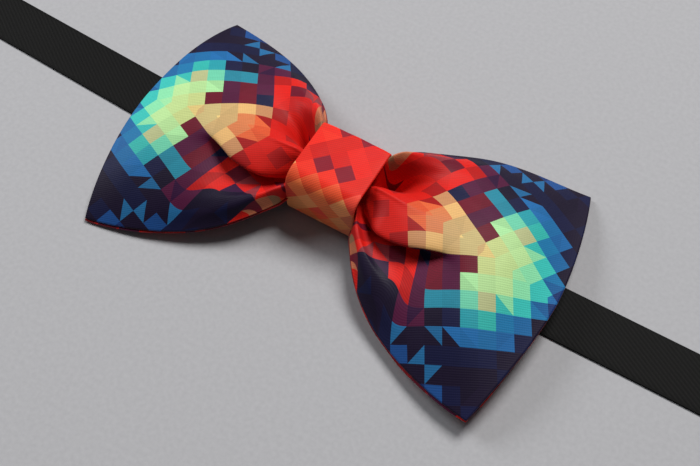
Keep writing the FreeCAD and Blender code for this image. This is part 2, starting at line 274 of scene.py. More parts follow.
# Places in the bow's print, in millimetres of flat cloth from its two middle lines.
FLAME_END = 38.0             # the warm stretch that runs out from the knot
FLAME_HALF_HEIGHT = 10.5
GLOW_START = 36.0            # the light patch beyond it, which is rounded at its outer end
GLOW_MIDDLE = 44.0
GLOW_HALF_LENGTH = 16.0
GLOW_HALF_HEIGHT = 21.0
RED_HALF_HEIGHT = 23.5       # the red stretch above and below the flame
RED_MORE_AT_KNOT = 13.0
KNOT_SIDE = 17.0             # what is nearer than this counts as beside the knot
PLUM_END = 37.0
PLUM_HALF_HEIGHT = 27.0
WEDGE_START = 29.0           # the dark wedge that cuts into the light patch
WEDGE_END = 41.5

RED = paint(222, 30, 22)
BRIGHT_RED = paint(244, 42, 28)
ORANGE_RED = paint(234, 68, 40)
ORANGE = paint(232, 108, 62)
PEACH = paint(226, 150, 98)
SAND = paint(196, 158, 112)
YELLOW = paint(240, 206, 130)
LIME = paint(212, 232, 152)
MINT = paint(142, 232, 178)
TEAL = paint(58, 194, 184)
SKY = paint(30, 128, 176)
BLUE = paint(32, 78, 142)
DIM_BLUE = paint(26, 52, 108)
NAVY = paint(24, 26, 62)
INDIGO = paint(28, 19, 44)
PURPLE = paint(52, 18, 56)
PLUM = paint(84, 24, 60)
MAROON = paint(112, 20, 42)
DARK_RED = paint(170, 26, 26)
STEEL_BLUE = paint(34, 104, 146)


def mosaic(tree, x, y, tilt, cut_share):
    """Squares at an angle, a share of them cut into two triangles.  The share is a number, or a
    function of the place.
    Returns the middle of each piece, its random numbers, and its square's column and row."""
    cos, sin = math.cos(tilt), math.sin(tilt)
    along = (x * cos + y * sin) / PITCH
    across = (y * cos - x * sin) / PITCH
    column, row = along.floor(), across.floor()

    def back_to_cloth(a, b):
        return (a * cos - b * sin) * PITCH, (a * sin + b * cos) * PITCH

    luck = chance(tree, column, row, 0.37)
    if callable(cut_share):
        cut_share = cut_share(*back_to_cloth(column + 0.5, row + 0.5))
    cut = luck[0] < cut_share
    rising = along.fract() > across.fract()
    falling = (along.fract() + across.fract()) > 1.0
    leans_left = luck[1] > 0.5
    half = (rising * leans_left + falling * leans_left.flip()) * cut
    shift = (half * 2.0 - 1.0) * cut * 0.17
    middle = back_to_cloth(column + 0.5 + shift, row + 0.5 - shift)
    return middle, chance(tree, column, row, half + 2.0), (column, row)


def tone(luck):
    """One more random number for a piece, made from two that it has."""
    return (luck[0] * 3.0 + luck[1] * 4.0).fract()


def weave(x, y):
    """Fine ribs one way and a finer thread the other way."""
    return y.wave(WEAVE_PITCH) * 0.7 + x.wave(WEAVE_PITCH * 0.8) * 0.3


def finish_cloth(tree, shader, x, y, colour, tilt, piece_luck):
    """Each printed piece's own tone, then grain, weave relief and the soft sheen of a satin-like
    polyester, woven along the squares of its print.  Its turned edges are a little worn."""
    cos, sin = math.cos(tilt), math.sin(tilt)
    x, y = x * cos + y * sin, y * cos - x * sin
    ribs = weave(x, y)
    slubs = noise(tree, vector(tree, x * 0.25, y * 2.2), 1.3, 2.0)
    shade = ribs * 0.24 + 0.86 + (slubs - 0.5) * 0.18 + (piece_luck - 0.6) * 0.22
    shaded = mix(tree, 1.0, colour, grey(tree, shade), "MULTIPLY")
    edge = tree.nodes.new("ShaderNodeAttribute")
    edge.attribute_name = "turned_edge"
    worn = Num(tree, edge.outputs["Fac"])
    shaded = mix(tree, worn * 0.35, shaded, paint(120, 80, 90))
    tree.links.new(shaded, shader.inputs["Base Color"])
    gloss = noise(tree, vector(tree, x, y), 0.35, 3.0)
    rough = gloss * 0.12 + 0.44 + ribs * 0.05
    tree.links.new(rough.socket, shader.inputs["Roughness"])
    add_bump(tree, shader, ribs + slubs * 0.5, 0.35, 0.00006)
    shader.inputs["Specular IOR Level"].default_value = 0.16
    shader.inputs["Sheen Weight"].default_value = 0.04
    shader.inputs["Sheen Roughness"].default_value = 0.35


def dark_ground(tree, x, ring, luck):
    """Indigo, navy and blue squares, bluer round the light patch."""
    near_glow = (x > 33.0) * (x < 51.0) * (ring < 1.5) * 0.13
    shifted = luck[2] + near_glow - (x < 30.0) * 0.14 - (x > 53.0) * 0.15
    return colours(tree, shifted, [
        (0.0, INDIGO), (0.40, NAVY), (0.70, DIM_BLUE), (0.86, BLUE), (0.98, paint(38, 108, 160))], True)


def red_stretch(tree, luck):
    return colours(tree, luck[2], [
        (0.0, RED), (0.32, paint(196, 26, 24)), (0.56, ORANGE_RED), (0.68, MAROON),
        (0.84, paint(150, 54, 62)), (0.93, PLUM)], True)


def flame_and_glow(tree, x, ring, luck):
    """Red, orange and yellow along the flame, then lime, mint, teal and blue out from the middle
    of the light patch, with sandy and red squares strewn in."""
    outside = x > GLOW_START
    heat = outside * (ring * 22.0 + FLAME_END) + outside.flip() * x
    heat = heat + (luck[0] - 0.5) * 3.6
    warm = colours(tree, heat / 64.0, [
        (0.0, RED), (0.29, RED), (0.33, ORANGE_RED), (0.39, ORANGE), (0.455, PEACH), (0.52, YELLOW),
        (0.60, YELLOW), (0.655, LIME), (0.735, paint(176, 234, 164)), (0.785, MINT), (0.80, TEAL),
        (0.865, TEAL), (0.88, SKY), (0.95, paint(34, 104, 166))])
    dusty = (luck[1] < 0.28) * (heat > 22.0) * (heat < 49.0)
    warm = mix(tree, dusty * 0.65, warm, SAND)
    hot = (luck[1] > 0.86) * (heat < 30.0)
    warm = mix(tree, hot, warm, RED)
    deep = (luck[2] < 0.2) * (heat < 24.0)
    return mix(tree, deep, warm, DARK_RED)


def bow_print():
    """Mirrored about both middle lines: red at the knot, then orange, yellow, lime and mint,
    ringed with teal and blue, on a ground of navy, indigo and plum."""
    material, tree, shader = new_material("bow_print")
    cloth_x, cloth_y = cloth_place(tree)

    def cut_share(x, y):
        calm = (x < FLAME_END) * (y < 12.0)
        return calm * -0.36 + 0.42

    (x, y), luck, _ = mosaic(tree, cloth_x.abs(), cloth_y.abs(), BOW_TILT, cut_share)

    ring_x = (x - GLOW_MIDDLE).max(0.0) / GLOW_HALF_LENGTH
    ring_y = y / GLOW_HALF_HEIGHT
    ring = (ring_x * ring_x + ring_y * ring_y).root()
    glow = (x > GLOW_START) * (ring < 1.07) * ((ring > 0.8) * (x < 43.0)).flip()
    flame = (x < FLAME_END) * (y < (x - 27.0).max(0.0) * -0.55 + FLAME_HALF_HEIGHT)
    red_height = (x < KNOT_SIDE) * RED_MORE_AT_KNOT + RED_HALF_HEIGHT
    outer_red = (y < red_height) * (x < (y - 10.0) * 0.8 + 24.0) * flame.flip()
    plum_zone = (x < PLUM_END) * (x > KNOT_SIDE) * (y < PLUM_HALF_HEIGHT)
    wedge_low = (x - 28.0) * -0.62 + 10.0
    wedge_high = (x - 34.0).max(0.0) * -0.95 + 16.5
    wedge = (x > WEDGE_START) * (x < WEDGE_END) * (y > wedge_low) * (y < wedge_high)
    tooth = wedge * (x > 35.5) * (y > 11.0)

    colour = dark_ground(tree, x, ring, luck)
    plum = colours(tree, luck[1], [(0.0, INDIGO), (0.3, PURPLE), (0.6, NAVY), (0.8, PLUM)], True)
    colour = mix(tree, plum_zone, colour, plum)
    colour = mix(tree, outer_red, colour, red_stretch(tree, luck))
    by_the_knot = outer_red * (x < 13.5) * (y > 20.0)
    colour = mix(tree, by_the_knot * 0.55, colour, SAND)
    warm = flame_and_glow(tree, x, ring, luck)
    shaded_end = glow * (x < 40.5) * (y > 12.0)
    warm = mix(tree, shaded_end * 0.75, warm, STEEL_BLUE)
    colour = mix(tree, glow.max(flame), colour, warm)
    maroons = colours(tree, luck[0], [(0.0, PLUM), (0.4, MAROON), (0.75, paint(98, 34, 58))], True)
    colour = mix(tree, wedge, colour, maroons)
    colour = mix(tree, tooth, colour, LIME)
    finish_cloth(tree, shader, cloth_x, cloth_y, colour, -BOW_TILT, tone(luck))
    return material


def knot_print():
    """The warm end of the same print: bright reds with pairs of maroon squares, orange below."""
    material, tree, shader = new_material("knot_print")
    x, y = cloth_place(tree)
    (_, piece_y), luck, (column, row) = mosaic(tree, x, y + 1.9, KNOT_TILT, 0.04)
    pieces = colours(tree, luck[0], [
        (0.0, BRIGHT_RED), (0.45, paint(248, 52, 34)), (0.75, paint(236, 36, 26)),
        (0.93, paint(224, 32, 26))], True)
    warm = colours(tree, luck[1], [
        (0.0, paint(252, 124, 70)), (0.28, paint(250, 156, 96)), (0.5, paint(250, 92, 54)),
        (0.7, paint(226, 122, 84)), (0.86, paint(240, 76, 58))], True)
    low_side = ((piece_y + (luck[2] - 0.5) * 3.0) < -4.2) * (piece_y > -22.0)
    colour = mix(tree, low_side, pieces, warm)
    pair_row = ((column + row + 1.0) / 4.0).fract() < 0.1
    pair_column = (column - row).abs().op("COMPARE", 1.0, 0.1)
    upper = piece_y > -4.0
    maroons = colours(tree, luck[2], [(0.0, paint(146, 24, 44)), (0.5, paint(160, 30, 46))], True)
    colour = mix(tree, pair_row * pair_column * upper, colour, maroons)
    finish_cloth(tree, shader, x, y, colour, KNOT_TILT, tone(luck))
    return material


def back_print():
    """The back panel is cut from the dark red stretch of the cloth."""
    material, tree, shader = new_material("back_print")
    x, y = cloth_place(tree)
    _, luck, _ = mosaic(tree, x, y, BOW_TILT, 0.2)
    colour = colours(tree, luck[0], [
        (0.0, paint(150, 22, 30)), (0.35, MAROON), (0.6, RED), (0.78, PLUM),
        (0.9, paint(190, 34, 34))], True)
    finish_cloth(tree, shader, x, y, colour, BOW_TILT, luck[1])
    return material


# ---------------------------------------------------------------- plain materials
TWILL_PITCH = 0.95           # the ribbon's slanting ribs
RIBBON_THREAD_PITCH = 0.30
SELVEDGE_START = 6.3         # from the ribbon's middle line
SELVEDGE_FULL = 6.6


def black_ribbon():
    """Twill ribbon: fine slanting ribs, a smooth selvedge and a faint shine."""
    material, tree, shader = new_material("black_ribbon")
    x, y = cloth_place(tree)
    slant = (x * 0.5 + y * 0.87).wave(TWILL_PITCH)
    threads = x.wave(RIBBON_THREAD_PITCH)
    selvedge = y.abs().ramp(SELVEDGE_START, SELVEDGE_FULL)
    relief = slant * selvedge.flip() + threads * 0.35
    fluff = noise(tree, vector(tree, x, y), 1.6, 4.0)
    # painted highlight: the colour is lighter where the twill's ribs and threads stand up; the fluff
    # noise is the fibres' own uneven tone
    shade = relief * 0.55 + fluff * 0.35
    dark, light = (0.0025, 0.0025, 0.0025, 1), (0.0085, 0.0085, 0.008, 1)
    colour = colours(tree, shade, [(0.1, dark), (0.9, light)])
    tree.links.new(colour, shader.inputs["Base Color"])
    rough = fluff * 0.15 + 0.55
    tree.links.new(rough.socket, shader.inputs["Roughness"])
    add_bump(tree, shader, relief, 0.4, 0.0001)
    shader.inputs["Specular IOR Level"].default_value = 0.09
    shader.inputs["Sheen Weight"].default_value = 0.02
    shader.inputs["Sheen Roughness"].default_value = 0.4
    return material


def nickel():
    material, tree, shader = new_material("nickel")
    place = object_place(tree)
    shader.inputs["Metallic"].default_value = 1.0
    smudge = noise(tree, place, 300.0, 4.0)
    scratches = noise(tree, place, 2600.0, 2.0)
    colour = colours(tree, smudge, [(0.3, (0.56, 0.54, 0.50, 1)), (0.7, (0.70, 0.68, 0.64, 1))])
    tree.links.new(colour, shader.inputs["Base Color"])
    rough = smudge * 0.18 + scratches * 0.10 + 0.10
    tree.links.new(rough.socket, shader.inputs["Roughness"])
    add_bump(tree, shader, scratches, 0.06, 0.00005)
    return material


def felted(name, dark, light):
    """Interlining: pressed fibres with a faint grain."""
    material, tree, shader = new_material(name)
    place = object_place(tree)
    fibres = noise(tree, place, 2200.0, 5.0)
    tree.links.new(colours(tree, fibres, [(0.3, dark), (0.7, light)]), shader.inputs["Base Color"])
    rough = fibres * 0.2 + 0.7
    tree.links.new(rough.socket, shader.inputs["Roughness"])
    add_bump(tree, shader, fibres, 0.5, 0.0001)
    return material


def thread(name, dark, light):
    """Sewing thread, with the slant of its twist."""
    material, tree, shader = new_material(name)
    parts = tree.nodes.new("ShaderNodeSeparateXYZ")
    tree.links.new(object_place(tree), parts.inputs[0])
    x, y, z = (Num(tree, parts.outputs[i]) for i in range(3))
    twist = ((x + y + z) * 9000.0).sine() * 0.5 + 0.5
    tree.links.new(colours(tree, twist, [(0.1, dark), (0.9, light)]), shader.inputs["Base Color"])
    rough = twist * 0.2 + 0.45
    tree.links.new(rough.socket, shader.inputs["Roughness"])
    add_bump(tree, shader, twist, 0.4, 0.00005)
    return material


def table_top():
    """A plain pale surface with the faintest mottling."""
    material, tree, shader = new_material("pale_floor")
    mottle = noise(tree, object_place(tree), 900.0, 4.0)
    tree.links.new(colours(tree, mottle, [(0.3, paint(175, 175, 178)), (0.7, paint(182, 182, 185))]),
                   shader.inputs["Base Color"])
    rough = mottle * 0.1 + 0.85
    tree.links.new(rough.socket, shader.inputs["Roughness"])
    return material


# ---------------------------------------------------------------- mesh helpers
def ease(low, high, value):
    """0 below low, 1 above high, and a smooth step between them."""
    t = np.clip((value - low) / (high - low), 0.0, 1.0)
    return t * t * (3.0 - 2.0 * t)


def bell(middle, width, value):
    """1 at the middle, fading to nothing a few widths away."""
    return np.exp(-((value - middle) / width) ** 2)


def build_mesh(name, points, faces, uv, material, edge=None):
    """A smooth-shaded object from points in millimetres.  uv has one place on the flat cloth per
    point, and edge says how far each point is on a turned edge, from 0 to 1."""
    mesh = bpy.data.meshes.new(name)
    mesh.from_pydata((np.asarray(points) * MM).tolist(), [], faces)
    layer = mesh.uv_layers.new(name="cloth")
    corners = np.zeros(len(mesh.loops), np.int32)
    mesh.loops.foreach_get("vertex_index", corners)
    layer.data.foreach_set("uv", np.asarray(uv, np.float32)[corners].ravel())
    if edge is not None:
        attribute = mesh.attributes.new("turned_edge", "FLOAT", "POINT")
        attribute.data.foreach_set("value", np.asarray(edge, np.float32))
    mesh.polygons.foreach_set("use_smooth", [True] * len(mesh.polygons))
    mesh.materials.append(material)
    thing = bpy.data.objects.new(name, mesh)
    bpy.context.scene.collection.objects.link(thing)
    return thing


def grid_normals(grid):
    normal = np.cross(np.gradient(grid, axis=0), np.gradient(grid, axis=1))
    return normal / np.maximum(np.linalg.norm(normal, axis=2, keepdims=True), 1e-9)


def sheet_mesh(name, grid, uv, thickness, material, roll=0.16):
    """A closed sheet of cloth: the grid is its upper face, and its rims bulge out by roll."""
    normals = grid_normals(grid)
    if normals[..., 2].mean() < 0:
        normals = -normals
    columns, rows = grid.shape[:2]
    rim = [(i, 0) for i in range(columns)] + [(columns - 1, j) for j in range(1, rows)]
    rim += [(i, rows - 1) for i in range(columns - 2, -1, -1)] + [(0, j) for j in range(rows - 2, 0, -1)]
    upper = grid.reshape(-1, 3)
    lower = (grid - normals * thickness).reshape(-1, 3)
    index = np.arange(columns * rows).reshape(columns, rows)
    count = columns * rows
    inward = []
    for i, j in rim:
        step_i = 1 if i == 0 else (-1 if i == columns - 1 else 0)
        step_j = 1 if j == 0 else (-1 if j == rows - 1 else 0)
        direction = grid[i + step_i, j + step_j] - grid[i, j]
        inward.append(direction / max(np.linalg.norm(direction), 1e-9))
    middle = np.array([grid[i, j] - normals[i, j] * thickness / 2 for i, j in rim])
    points = np.vstack([upper, lower, middle - np.array(inward) * roll])
    flat_uv = uv.reshape(-1, 2)
    all_uv = np.vstack([flat_uv, flat_uv, [uv[i, j] for i, j in rim]])
    edge = np.zeros(len(points))
    edge[2 * count:] = 1.0
    faces = []
    for i in range(columns - 1):
        for j in range(rows - 1):
            a, b, c, d = index[i, j], index[i + 1, j], index[i + 1, j + 1], index[i, j + 1]
            faces.append((a, b, c, d))
            faces.append((a + count, d + count, c + count, b + count))
    ring = [index[i, j] for i, j in rim]
    for k in range(len(ring)):
        n = (k + 1) % len(ring)
        faces.append((ring[k], 2 * count + k, 2 * count + n, ring[n]))
        faces.append((2 * count + k, ring[k] + count, ring[n] + count, 2 * count + n))
    return build_mesh(name, points, [tuple(int(v) for v in f) for f in faces], all_uv, material, edge)


# ---------------------------------------------------------------- the bow's shape, in millimetres
# u runs along the bow from -1 to 1, v across it from -1 to 1, and s is the distance from the middle.
BOW_TIP_REACH = 54.4         # to the corners of a wing
BOW_END_BULGE = 5.6          # how much further the middle of its outer edge reaches
BOW_SHIFT = 1.6              # the right wing is pulled out this much further than the left
WAIST_HALF_HEIGHT = 6.9      # gathered cloth inside the knot
WAIST_OFFSET = 0.6           # the gathers sit a little above the strap's centre line
WING_START = 9.0             # the cloth leaves the knot here
WING_FULL = 17.0             # and has its full form from here on
RIM_HEIGHT = 3.2
WAIST_LIFT = 4.6             # the rims rise by this towards the knot
WING_TWIST = 2.0             # each wing is twisted a little about its own length
SHOULDER = 6.2               # rise of the upper rim beside the knot
GATHER_DEPTH = 1.6           # of the pleats inside the thread
GATHER_RISE = 1.9            # how much deeper they are outside the knot
GATHER_PITCH = 0.78          # from pleat to pleat, in v
WAIST_CROWN = 4.6            # height of the front's middle above its rims, at the waist
WING_CROWN = 9.4             # and at the middle of a wing
PLEAT_V = -0.37              # where the knife pleat leaves the knot
PLEAT_WIDTH = 0.21
PLEAT_SLIDE = 4.3            # how far its cloth is laid over
PLEAT_STEP = 2.1
CREASE = 0.16                # height of the fine creases beside the knot
SLACK = 0.22                 # height of the slow waves in the wings
HOLLOW_DEPTH = 4.6           # of the hollow beside the knot, above the pleat
HOLLOW_X = 12.5
HOLLOW_V = 0.43
BACK_DROP = 0.55             # the back panel lies this far under the front's seam
BACK_PEEK = 0.35             # and shows this much below the lower edge
TABLE_CLEARANCE = 0.46       # lowest place of the back panel's upper face
FOLD_REACH = 0.2             # how far a fold can overhang, in v
LINING_END = 0.91            # how far the lining reaches towards the outer edges
LINING_SIDE = 0.87           # and towards the long edges
LINING_DROP = 0.55           # under the lowest cloth nearby
FRONT_CLOTH = 0.42           # thickness of each layer
BACK_CLOTH = 0.4
LINING_CLOTH = 0.25


def plan_x(u, v):
    reach = BOW_TIP_REACH + BOW_END_BULGE * (1 - np.abs(v) ** 1.7)
    return u * reach + BOW_SHIFT * u * u


def half_height(s):
    """Half the bow's height: narrow in the knot, then flared."""
    flare = 37.3 - 47.5 * np.exp(-s / 16.5)
    outside = ease(8.0, 10.3, s)
    return WAIST_HALF_HEIGHT * (1 - outside) + flare * outside


def middle_y(s):
    return WAIST_OFFSET * (1 - ease(9, 18, s)) - 1.65 * ease(28, 56, s)


def rim_height(x, v):
    """Height of the long edges, and what they carry across between them."""
    s = np.abs(x)
    waist = RIM_HEIGHT + WAIST_LIFT * bell(12, 15, np.maximum(12, s))
    twist = -WING_TWIST * np.sign(x) * v * ease(25, 55, s)
    near_dip = -0.6 * bell(22, 12, s) * (1 - v)
    shoulder = SHOULDER * bell(9, 8, s) * ease(7.6, 9.6, s) * ease(0.3, 1.0, v)
    return waist + twist + near_dip + shoulder


def crown_height(s):
    """How far the middle of the front stands above its long edges."""
    outside = ease(WING_START, WING_FULL, s)
    wing = 0.6 + WING_CROWN * bell(38, 30, s)
    return WAIST_CROWN * (1 - outside) + outside * wing - 1.6 * ease(46, 61, s)


def gather(s, v):
    """The pleats are shallow where the thread holds them and stand up just outside the knot."""
    fade = np.exp(-(np.maximum(0.0, s - 9) / 12.0) ** 1.2) * (1 - ease(0.85, 1.0, np.abs(v)))
    depth = GATHER_DEPTH + GATHER_RISE * ease(8.5, 12.5, s)
    return depth * fade * np.cos(2 * math.pi * v / GATHER_PITCH)


def knife_pleat(s, v):
    """How far the pleat below the middle line moves the cloth sideways and up."""
    t = (v - PLEAT_V - 0.20 * ease(14, 40, s)) / PLEAT_WIDTH
    slide = PLEAT_SLIDE * ease(8, 17, s) * (1 - ease(24, 40, s))
    step = PLEAT_STEP * ease(6, 15, s) * (1 - ease(24, 42, s))
    across = -slide * np.sin(math.pi * t) * np.exp(-0.9 * t * t)
    return across, step * np.tanh(2.2 * t) * np.exp(-0.35 * t * t)


def front_surface(u, v):
    """The front panel, with the knife pleat that runs out from the knot below the middle line
    and the deep hollow that the gathers leave above it."""
    x = plan_x(u, v)
    s = np.abs(x)
    arch = crown_height(s) * (1 - np.abs(v) ** 2.2)
    fold_y, fold_z = knife_pleat(s, v)
    fine = CREASE * np.exp(-np.maximum(0, s - 9) / 9.0) * ease(9, 12, s)
    creases = fine * np.sin(v * 46 + 0.12 * s) * (1 - np.abs(v) ** 4)
    slack = SLACK * np.sin(0.21 * x + 3.1 * v + 0.7) * np.sin(0.13 * x - 4.7 * v) * ease(16, 30, s)
    hollow = HOLLOW_DEPTH * bell(HOLLOW_X, 5.5, s) * ease(8.5, 11.0, s) * bell(HOLLOW_V, 0.17, v)
    y = middle_y(s) + half_height(s) * v + fold_y
    z = rim_height(x, v) + arch + gather(s, v) + fold_z + creases + slack * (1 - v ** 4) - hollow
    return np.stack([x, y, z], axis=2)


def lowest_nearby(heights, v):
    """The lowest height within a fold's width of each place, so that what lies below stays clear."""
    reach = max(1, int(FOLD_REACH / (v[0, 1] - v[0, 0])))
    padded = np.pad(heights, ((0, 0), (reach, reach)), mode="edge")
    rows = heights.shape[1]
    return np.min([padded[:, k:k + rows] for k in range(2 * reach + 1)], axis=0)


def panel_spots(columns, rows):
    """u and v at every point of a panel's grid."""
    return np.meshgrid(np.linspace(-1, 1, columns), np.linspace(-1, 1, rows), indexing="ij")


def back_surface(u, v):
    """The back panel is flatter, meets the front at every edge and shows a little below it."""
    x = plan_x(u, v)
    s = np.abs(x)
    outside = ease(WING_START, WING_FULL, s)
    arch = (1.9 * (1 - ease(50, 61, s)) + 0.5) * (1 - v * v) * outside
    sag = 1.6 * (1 - outside) * (1 - v ** 4)
    inner = rim_height(x, v) - BACK_DROP + arch - sag + 0.25 * gather(s, v)
    seam = rim_height(x, v) + crown_height(s) * (1 - np.abs(v) ** 2.2) - BACK_DROP
    closing = ease(0.80, 1.0, np.abs(u))
    z = inner * (1 - closing) + seam * closing
    inside = ease(1.0, 0.86, np.abs(v)) * ease(1.0, 0.93, np.abs(u))
    z = np.minimum(z, lowest_nearby(front_surface(u, v)[..., 2], v) - 0.5 - 0.6 * inside)
    z = np.maximum(z, TABLE_CLEARANCE)
    peek = BACK_PEEK * ease(-0.8, -1.0, v) * ease(30, 38, s) * (1 - ease(50, 60, s))
    y = middle_y(s) + half_height(s) * v - peek
    return np.stack([x, y, z], axis=2)


def cloth_uv(grid, v):
    """x along the bow, and the length of cloth from its middle line, so that folds hide print."""
    steps = np.linalg.norm(np.diff(grid, axis=1), axis=2)
    length = np.concatenate([np.zeros((grid.shape[0], 1)), np.cumsum(steps, axis=1)], axis=1)
    middle = np.array([np.interp(0.0, v[i], length[i]) for i in range(grid.shape[0])])
    return np.stack([grid[..., 0], length - middle[:, None]], axis=2)


def make_bow(print_material, back_material, lining):
    u, v = panel_spots(321, 221)
    grid = front_surface(u, v)
    front = sheet_mesh("bow_front", grid, cloth_uv(grid, v), FRONT_CLOTH, print_material)
    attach(front, "bow")
    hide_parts("bow_front_panel")

    u, v = panel_spots(201, 101)
    grid = back_surface(u, v)
    back = sheet_mesh("bow_back", grid, cloth_uv(grid, v), BACK_CLOTH, back_material)
    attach(back, "bow")
    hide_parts("bow_back_panel")

    u, v = panel_spots(161, 111)
    u, v = u * LINING_END, v * LINING_SIDE
    grid = front_surface(u, v)
    s = np.abs(grid[..., 0])
    grid[..., 1] = middle_y(s) + half_height(s) * v
    grid[..., 2] = lowest_nearby(grid[..., 2], v) - LINING_DROP
    inner = sheet_mesh("bow_lining", grid, cloth_uv(grid, v), LINING_CLOTH, lining, 0.0)
    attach(inner, "bow")
    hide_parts("bow_interlining")


# ---------------------------------------------------------------- the knot
KNOT_LOW_Y, KNOT_HIGH_Y, KNOT_TOP = -8.7, 10.7, 16.8
KNOT_RADII = (4.4, 2.2, 1.3, 4.2)       # low -Y, low +Y, high +Y, high -Y
KNOT_HALF = 9.75                        # half its length along the strap
KNOT_CLOTH = 0.7                        # doubled cloth
KNOT_LINING = 0.3
KNOT_LINING_HALF = 8.6
KNOT_LINING_INSET = 0.75
SEAM_Y = 4.6                            # the band is closed along this line, underneath
WAIST_LOW_Y, WAIST_HIGH_Y, WAIST_LOW, WAIST_TOP = -6.6, 7.8, 3.9, 14.55
WAIST_RADII = (2.0, 2.0, 2.6, 2.6)      # the gathering thread is wound round this shape
WINDING_HALF = 4.6                      # half the length that its turns cover


def rounded_outline(low_y, high_y, low_z, high_z, radii, count):
    """Evenly spaced points round a rectangle with rounded corners, from the middle of its top, and
    how far each is along the way round."""
    corners = [(low_y, high_z, radii[3], 90), (low_y, low_z, radii[0], 180),
               (high_y, low_z, radii[1], 270), (high_y, high_z, radii[2], 0)]
    points = [((low_y + high_y) / 2, high_z)]
    for y, z, radius, start in corners:
        centre_y = y + radius if y == low_y else y - radius
        centre_z = z + radius if z == low_z else z - radius
        for k in range(13):
            angle = math.radians(start + 90 * k / 12)
            points.append((centre_y + radius * math.cos(angle), centre_z + radius * math.sin(angle)))
    points.append(points[0])
    points = np.array(points)
    length = np.concatenate([[0], np.cumsum(np.linalg.norm(np.diff(points, axis=0), axis=1))])
    even = np.linspace(0, length[-1], count)
    outline = np.stack([np.interp(even, length, points[:, k]) for k in range(2)], axis=1)
    return outline, even


def band_mesh(name, inset, thickness, half, material, dressed=True):
    """A closed band of cloth round the waist, with folded edges at both ends.  A dressed band is
    a little full in the middle and uneven, and dips at its seam."""
    outline, run = rounded_outline(KNOT_LOW_Y, KNOT_HIGH_Y, 0.0, KNOT_TOP, KNOT_RADII, 241)
    outline, run, total = outline[:-1], run[:-1], run[-1]
    normals = outline_normals(outline)
    lip = thickness / 2
    arc = [math.radians(90 + 180 * k / 10) for k in range(11)]
    left = [(-half + lip + lip * math.cos(a), -lip + lip * math.sin(a)) for a in arc]
    top = [(x, 0.0) for x in np.linspace(half - lip, -half + lip, 41)[1:-1]]
    under = [(x, -thickness) for x in np.linspace(-half + lip, half - lip, 21)[1:-1]]
    right = [(-x, depth) for x, depth in reversed(left)]
    profile = top + left + under + right
    points = []
    uv = []
    for (y, z), normal, along in zip(outline, normals, run):
        height = ease(2.0, 9.0, z)
        for x, depth in profile:
            shift = depth - inset
            if dressed and depth > -lip:
                shift += 0.22 * (1 - (x / half) ** 2) * height
                shift += 0.035 * math.sin(0.9 * x + 0.35 * along) * math.sin(0.35 * along + 1.0) * height
                shift -= 0.3 * bell(SEAM_Y, 0.45, y) * (z < 0.5)
            points.append((x, y + normal[0] * shift, z + normal[1] * shift))
            uv.append((x, -along if along < total / 2 else total - along))
    count = len(profile)
    turns = len(outline)
    faces = []
    for i in range(turns):
        for j in range(count):
            near, far = i * count, (i + 1) % turns * count
            after = (j + 1) % count
            faces.append((near + j, near + after, far + after, far + j))
    return build_mesh(name, points, faces, uv, material)


def outline_normals(outline):
    """Unit vectors that point out of a closed outline."""
    ahead = np.roll(outline, -1, axis=0) - np.roll(outline, 1, axis=0)
    normal = np.stack([ahead[:, 1], -ahead[:, 0]], axis=1)
    normal /= np.linalg.norm(normal, axis=1, keepdims=True)
    outward = outline - outline.mean(axis=0)
    flip = np.sign((normal * outward).sum(axis=1, keepdims=True))
    return normal * flip


def make_knot(material, lining):
    knot = band_mesh("knot_band", 0.0, KNOT_CLOTH, KNOT_HALF, material)
    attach(knot, "bow")
    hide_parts("knot_wrap")

    stiffener = band_mesh("knot_lining", KNOT_LINING_INSET, KNOT_LINING, KNOT_LINING_HALF, lining,
                          dressed=False)
    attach(stiffener, "bow")
    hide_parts("knot_interlining")


# ---------------------------------------------------------------- the ribbon
RIBBON = 0.6                             # thickness
RIBBON_HALF = 7.2                        # half its width
GAP = 0.1                                # between one layer and the next
WIRE = 1.5                               # diameter of the metal wire
FIRST = RIBBON / 2                       # middle of the layer that lies on the table
SECOND = FIRST + RIBBON + GAP
THIRD = SECOND + RIBBON + GAP
BAR_HEIGHT = RIBBON + GAP + WIRE / 2     # bar with one layer of ribbon under it
BAR_TURN = WIRE / 2 + GAP + RIBBON / 2   # radius of the ribbon's middle round a bar
SLIDE_HEIGHT = 3 * (RIBBON + GAP) + WIRE / 2    # bars with three layers under them
EYE_BAR, SLIDE_BAR, HOOK_BAR = -170.0, 130.0, 220.0
NECK_START, NECK_END = 122.0, -150.0     # the flat run, from the slide to the fold at the eye
SEWN_END = 145.0                         # the sewn end behind the slide reaches here
FOLD_START = 213.0                       # the fold at the hook starts here
KNOT_LIFT = 1.45                         # underside of the ribbon beside the knot
KNOT_EXTRA_LIFT = 1.1                    # and this much more inside it
KINK = math.radians(3.0)                 # the strap's left half is turned by this


